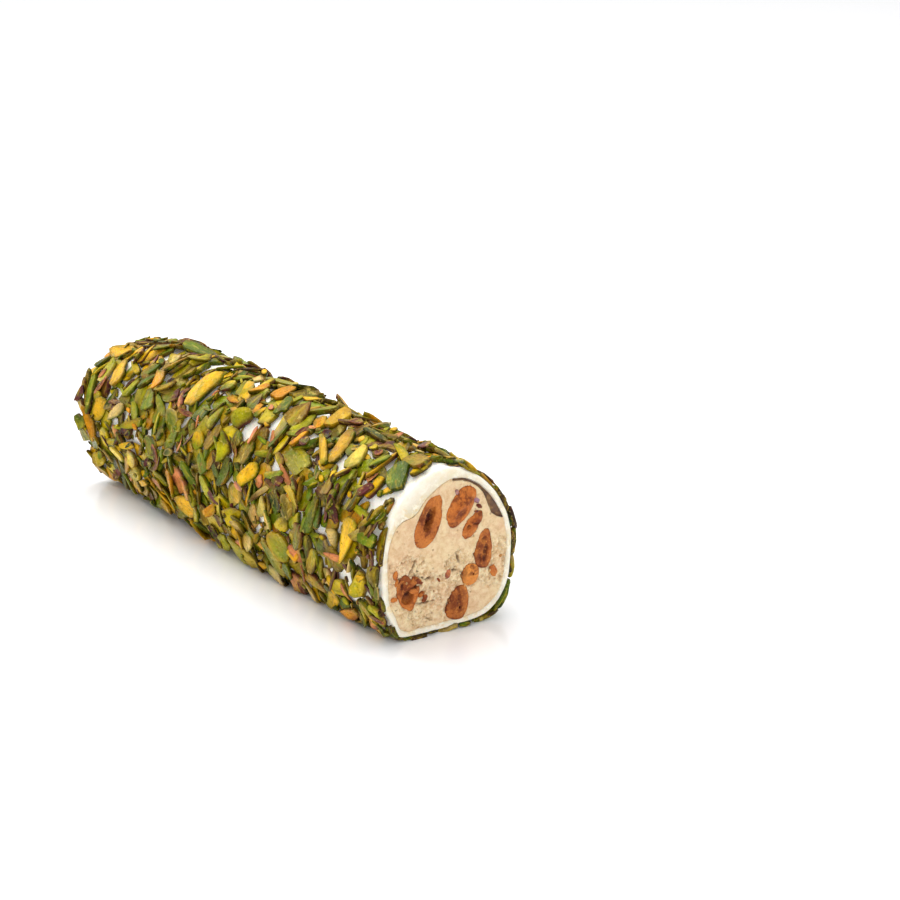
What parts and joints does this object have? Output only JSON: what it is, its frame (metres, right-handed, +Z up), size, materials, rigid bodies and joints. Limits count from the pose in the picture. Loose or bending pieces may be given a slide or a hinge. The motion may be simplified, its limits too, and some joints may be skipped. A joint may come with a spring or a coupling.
{
  "type": "turkish delight roll",
  "caption": "Roll of Turkish delight: nougat filling with roasted almonds, a soft white marshmallow wrap and a coat of pistachio slices, cut square at both ends.",
  "frame": {"origin": "middle of the flat underside, on the surface it lies on", "axes": "+Z up, +Y along the roll from its front cut to its back cut, +X to the right as seen from the front"},
  "size_m": [0.0491, 0.1766, 0.0498],
  "materials": {
    "nougat": "soft matt nougat, pale beige",
    "marshmallow": "soft powdery marshmallow, warm white",
    "pistachio": "sliced pistachio, green to golden, slightly glossy",
    "roasted_almond": "cut roasted almond, red-brown, slightly glossy",
    "almond_skin": "dark brown almond skin, slightly glossy"
  },
  "bodies": {
    "root": {"almond_front_long": "roasted_almond", "almond_front_top": "roasted_almond", "almond_front_lobe": "roasted_almond", "almond_front_right": "roasted_almond", "almond_front_round": "roasted_almond", "almond_front_low": "roasted_almond", "almond_front_broken": "roasted_almond", "almond_back_long": "roasted_almond", "almond_back_split": "roasted_almond", "almond_back_sliver": "roasted_almond", "almond_back_pale": "roasted_almond", "almond_back_round": "roasted_almond", "almond_back_low": "roasted_almond", "almond_back_side": "roasted_almond", "almond_back_chip": "roasted_almond", "almond_skin_curl": "almond_skin", "nougat_filling": "nougat", "marshmallow_wrap": "marshmallow", "pistachio_coat": "pistachio"}
  },
  "joints": []
}
